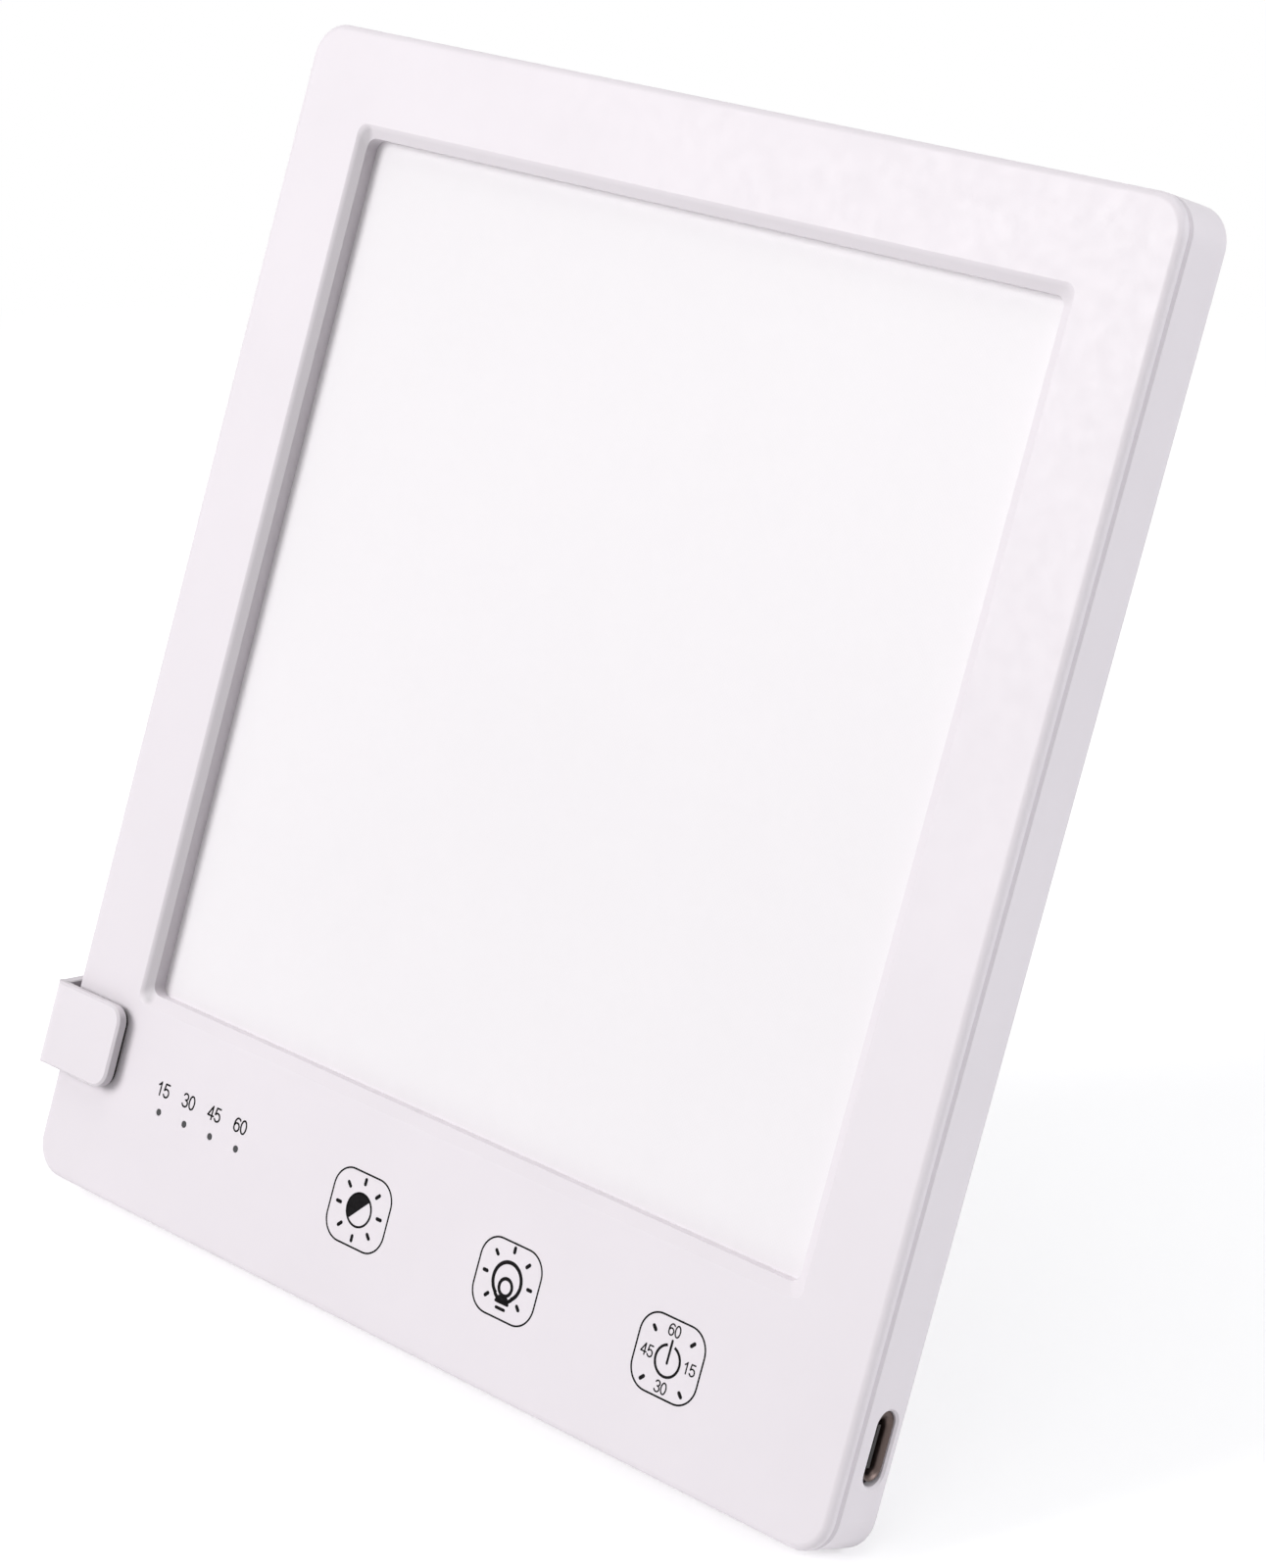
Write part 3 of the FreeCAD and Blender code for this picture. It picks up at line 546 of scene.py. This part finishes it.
def timer_minutes():
    mark = Print("print_timer_minutes", 0.0, 0.0)
    for index, minutes in enumerate(("15", "30", "45", "60")):
        mark.digits(minutes, (-63.5 + 6.5 * index, 21.95), 2.5, 0.3)
    mark.finish()


# Screws, socket and liner

def turned(bm, profile, x, z, steps=40):
    """A turned form: radius and depth pairs, swept about the axis through x and z."""
    loops = []
    for radius, y in profile:
        angles = [2.0 * math.pi * step / steps for step in range(steps if radius else 1)]
        loops.append([bm.verts.new(at(x + radius * math.cos(angle), y, z + radius * math.sin(angle)))
                      for angle in angles])
    skin(bm, loops)


def threaded_profile(tip=3.5, core=0.82, crest=1.08, pitch=0.5):
    """Radius and depth pairs of the screw, from its tip through the thread to the pan head."""
    profile = [(0.0, tip), (0.7, tip + 0.2)]
    y = tip + 0.4
    while y < HEAD_SEAT - 0.4:
        profile += [(core, y), (crest, y + 0.2), (core, y + 0.4)]
        y += pitch
    return profile + [(0.9, HEAD_SEAT), (HEAD_RADIUS, HEAD_SEAT), (HEAD_RADIUS, HEAD_SEAT + 0.7),
                      (2.2, HEAD_SEAT + 1.15), (1.9, HEAD_TOP - 0.12), (1.4, HEAD_TOP), (0.0, HEAD_TOP)]


def cross_cutter(x, z, reach=1.3, half_slot=0.24, sink=0.75):
    """Two crossed bars that cut the recess of a screw head."""
    bm = bmesh.new()
    for half_x, half_z in ((reach, half_slot), (half_slot, reach)):
        block(bm, x - half_x, x + half_x, HEAD_TOP - sink, HEAD_TOP + 0.3, z - half_z, z + half_z)
    return placed("cutter", mesh_from("cutter", bm))


def case_screw(number, x, z):
    """Pan head with a cross recess, and a threaded shank."""
    bm = bmesh.new()
    turned(bm, threaded_profile(), x, z)
    screw = new_object("case_screw_%d" % number, bm, made["screw"], "lamp")
    cutter = cross_cutter(x, z)
    cut = screw.modifiers.new("recess", "BOOLEAN")
    cut.operation = "DIFFERENCE"
    cut.object = cutter
    cut.solver = "EXACT"
    cut.use_self = True
    bpy.context.view_layer.update()
    cut_mesh = bpy.data.meshes.new_from_object(screw.evaluated_get(bpy.context.evaluated_depsgraph_get()))
    screw.modifiers.clear()
    screw.data = cut_mesh
    bpy.data.objects.remove(cutter)
    smooth(screw)
    return screw


def case_screws():
    places = [(x, z) for x in (-SCREW_SIDE, SCREW_SIDE) for z in SCREW_LEVELS]
    screws = [case_screw(number, x, z) for number, (x, z) in enumerate(places, 1)]
    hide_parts("case_screws")


def socket_shell(steps=64):
    """Drawn steel shell with an open throat, flared out to the opening's wall except at its lower end."""
    back, half, radius, wall = 80.9, 2.87, 1.6, 0.3
    middle = (back, radius - 0.1, half + 0.1, half + 0.1)
    # x, end radius, and the straight half-length above and below the middle
    sections = (middle, (back, radius, half, half), (88.6, radius, half, half), (88.9, 1.72, 2.95, 2.9),
                (89.2, 2.02, 3.25, 2.92), (89.34, 2.14, 3.5, 2.95), (89.4, 2.08, 3.44, 2.92),
                (89.34, 1.94, 3.25, 2.9), (89.1, 1.55, 2.97, 2.88), (88.5, 1.32, half, half),
                (back, radius - wall, half, half), middle)
    bm = bmesh.new()
    loops = []
    for x, end_radius, above, below in sections:
        loop = []
        for step in range(steps):
            angle = 2.0 * math.pi * step / steps
            straight = above if math.sin(angle) >= 0.0 else -below
            loop.append(bm.verts.new(at(x, PORT_DEPTH + end_radius * math.cos(angle),
                                        PORT_LEVEL + end_radius * math.sin(angle) + straight)))
        loops.append(loop)
    skin(bm, loops)
    bmesh.ops.remove_doubles(bm, verts=bm.verts, dist=1e-7)
    shell = new_object("usb_shell_flared", bm, made["socket_steel"], "lamp")
    smooth(shell, 50.0)
    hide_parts("usb_socket_shell")


def usb_contacts(count=12, pitch=0.5, half_width=0.13, height=0.03):
    """Gold pads on both faces of the socket's tongue."""
    bm = bmesh.new()
    for side in (-1, 1):
        face = PORT_DEPTH + side * 0.35
        proud = face + side * height
        for index in range(count):
            level = PORT_LEVEL + (index - (count - 1) / 2.0) * pitch
            block(bm, 84.2, 87.9, min(face, proud), max(face, proud), level - half_width, level + half_width)
    new_object("usb_contacts", bm, made["gold"])


def front_liner(end_inset=0.35, side_inset=0.4, left_radius=0.6):
    """The pad behind the clip's front plate: follows the plate's corners, with a rolled rim."""
    bm = bmesh.new()
    rim = ((0.25, PLATE_REAR), (0.05, -0.9), (0.0, -0.7), (0.0, -0.42), (0.08, -0.26), (0.28, -0.14),
           (0.6, LINER_FACE))
    loops = []
    for inset, y in rim:
        points = rounded_outline(LINER_LEFT, PLATE_EDGE - end_inset, PLATE_LOW + side_inset,
                                 PLATE_TOP - side_inset, left_radius, PLATE_CORNER - end_inset, inset)
        loops.append([bm.verts.new(at(x, y, z)) for x, z in points])
    skin(bm, loops)
    bm.faces.new(loops[0])
    bm.faces.new(loops[-1][::-1])
    pad = new_object("clip_liner_rolled", bm, made["silicone"], "clip")
    smooth(pad, 50.0)
    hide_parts("clip_front_liner")


# Studio

FLOOR_HALF = 12.0
FLOOR_LIFT = 0.4
WHITE_FROM = 0.3
WHITE_TO = 0.62
ROOM_LIGHT = 0.2
WHITE = (1.0, 1.0, 1.0, 1.0)
LENS = 94.598
CAMERA_PLACE = (0.424898, -0.445301, 0.324194)
CAMERA_AHEAD = (-0.647505, 0.66715, -0.368306)
CAMERA_UP = (-0.256602, 0.264206, 0.929705)


def background_ray(tree):
    """1 for the rays that show the background itself: camera, glossy and transmission rays."""
    path = tree.nodes.new("ShaderNodeLightPath")
    found = path.outputs["Is Camera Ray"]
    for kind in ("Is Glossy Ray", "Is Transmission Ray"):
        either = tree.nodes.new("ShaderNodeMath")
        either.operation = "MAXIMUM"
        tree.links.new(found, either.inputs[0])
        tree.links.new(path.outputs[kind], either.inputs[1])
        found = either.outputs["Value"]
    return found


def floor():
    """Pale floor that keeps the object's shadow and turns to plain white away from it."""
    mesh = bpy.data.meshes.new("floor")
    corners = [(-FLOOR_HALF, -FLOOR_HALF, 0), (FLOOR_HALF, -FLOOR_HALF, 0),
               (FLOOR_HALF, FLOOR_HALF, 0), (-FLOOR_HALF, FLOOR_HALF, 0)]
    mesh.from_pydata(corners, [], [(0, 1, 2, 3)])
    obj = placed("floor", mesh)
    n = Nodes("studio_floor")
    seen = background_ray(n.tree)
    n.feed(Base_Color=n.blend(n.noise(2.0), (0.9, 0.9, 0.905), (0.915, 0.915, 0.92)),
           Emission_Strength=n.product(seen, FLOOR_LIFT))
    n.fixed(Roughness=0.9, Specular_IOR_Level=0.1, Emission_Color=WHITE)
    away = n.add("ShaderNodeVectorMath", {"Vector": n.place}, operation="LENGTH").outputs["Value"]
    white = n.add("ShaderNodeEmission", Color=WHITE, Strength=1.0)
    mix = n.add("ShaderNodeMixShader", {"Fac": n.product(seen, n.rise(away, WHITE_FROM, WHITE_TO))})
    n.tree.links.new(n.shader.outputs["BSDF"], mix.inputs[1])
    n.tree.links.new(white.outputs["Emission"], mix.inputs[2])
    n.tree.links.new(mix.outputs["Shader"], n.tree.nodes["Material Output"].inputs["Surface"])
    mesh.materials.append(n.material)


def area(name, place, aim, side, power, colour=(1.0, 1.0, 1.0)):
    """A square soft lamp that faces its aim."""
    light = bpy.data.lights.new(name, "AREA")
    light.shape = "RECTANGLE"
    light.size = light.size_y = side
    light.energy = power
    light.color = colour
    obj = placed(name, light)
    obj.location = place
    obj.rotation_euler = (Vector(aim) - Vector(place)).to_track_quat("-Z", "Y").to_euler()


def world():
    """White where it is seen, and a weak fill as light."""
    studio = bpy.data.worlds.new("studio")
    studio.use_nodes = True
    tree = studio.node_tree
    tree.nodes.clear()
    mix = tree.nodes.new("ShaderNodeMixShader")
    tree.links.new(background_ray(tree), mix.inputs["Fac"])
    for socket, strength in ((mix.inputs[1], ROOM_LIGHT), (mix.inputs[2], 1.0)):
        background = tree.nodes.new("ShaderNodeBackground")
        background.inputs["Color"].default_value = WHITE
        background.inputs["Strength"].default_value = strength
        tree.links.new(background.outputs["Background"], socket)
    out = tree.nodes.new("ShaderNodeOutputWorld")
    tree.links.new(mix.outputs["Shader"], out.inputs["Surface"])
    bpy.context.scene.world = studio


def camera():
    """The photo's angle and lens."""
    data = bpy.data.cameras.new("camera")
    data.lens = LENS
    data.sensor_width = 36.0
    data.clip_start = 0.01
    data.clip_end = 50.0
    obj = placed("camera", data)
    forward = Vector(CAMERA_AHEAD).normalized()
    right = forward.cross(Vector(CAMERA_UP)).normalized()
    turn = Matrix((right, right.cross(forward), -forward)).transposed().to_4x4()
    obj.matrix_world = Matrix.Translation(CAMERA_PLACE) @ turn
    bpy.context.scene.camera = obj


brightness_key()
bulb_key()
power_key()
timer_minutes()
case_screws()
socket_shell()
front_liner()
usb_contacts()
floor()
world()
area("key", (-0.85, -1.42, 0.95), (0.0, 0.0, 0.08), 0.9, 22.4)
area("rim", (1.5, 0.7, 0.8), (0.0, 0.0, 0.08), 0.9, 14.5, (0.96, 0.98, 1.0))
area("top", (0.2, -0.1, 1.8), (0.0, 0.0, 0.0), 1.4, 8.5)
camera()
bpy.context.scene.view_settings.view_transform = "Standard"
